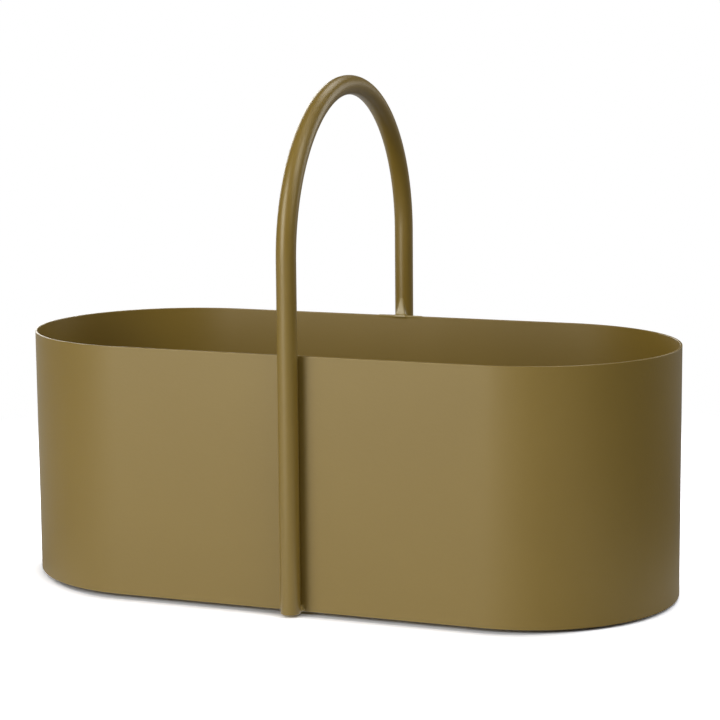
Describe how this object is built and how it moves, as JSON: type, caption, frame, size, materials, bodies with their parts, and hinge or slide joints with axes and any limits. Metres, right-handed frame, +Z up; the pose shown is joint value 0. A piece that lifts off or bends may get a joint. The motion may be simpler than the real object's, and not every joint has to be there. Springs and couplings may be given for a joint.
{
  "type": "open toolbox",
  "caption": "Open steel caddy with an oblong tray, half-round ends and a tall bent tube handle across the middle, for carrying tools or small supplies.",
  "frame": {"origin": "on the floor under the middle of the tray", "axes": "+X along the tray's length, +Y across it to the rear wall, +Z up"},
  "size_m": [0.35, 0.1756, 0.265],
  "materials": {
    "tray_coat": "satin olive powder coat",
    "handle_coat": "satin olive powder coat",
    "weld_coat": "olive powder coat over weld",
    "pad_rubber": "matte black"
  },
  "bodies": {
    "root": {"wall_band": "tray_coat", "wall_seam_weld": "tray_coat", "base_plate": "tray_coat", "handle_tube": "handle_coat", "front_leg_plug": "handle_coat", "rear_leg_plug": "handle_coat", "front_rim_weld": "weld_coat", "rear_rim_weld": "weld_coat", "front_left_foot_weld": "weld_coat", "front_right_foot_weld": "weld_coat", "rear_left_foot_weld": "weld_coat", "rear_right_foot_weld": "weld_coat", "front_left_pad": "pad_rubber", "front_right_pad": "pad_rubber", "rear_left_pad": "pad_rubber", "rear_right_pad": "pad_rubber", "base_stitch_weld_1": "weld_coat", "base_stitch_weld_2": "weld_coat", "base_stitch_weld_3": "weld_coat", "base_stitch_weld_4": "weld_coat", "base_stitch_weld_5": "weld_coat", "base_stitch_weld_6": "weld_coat", "base_stitch_weld_7": "weld_coat", "base_stitch_weld_8": "weld_coat"}
  },
  "joints": []
}
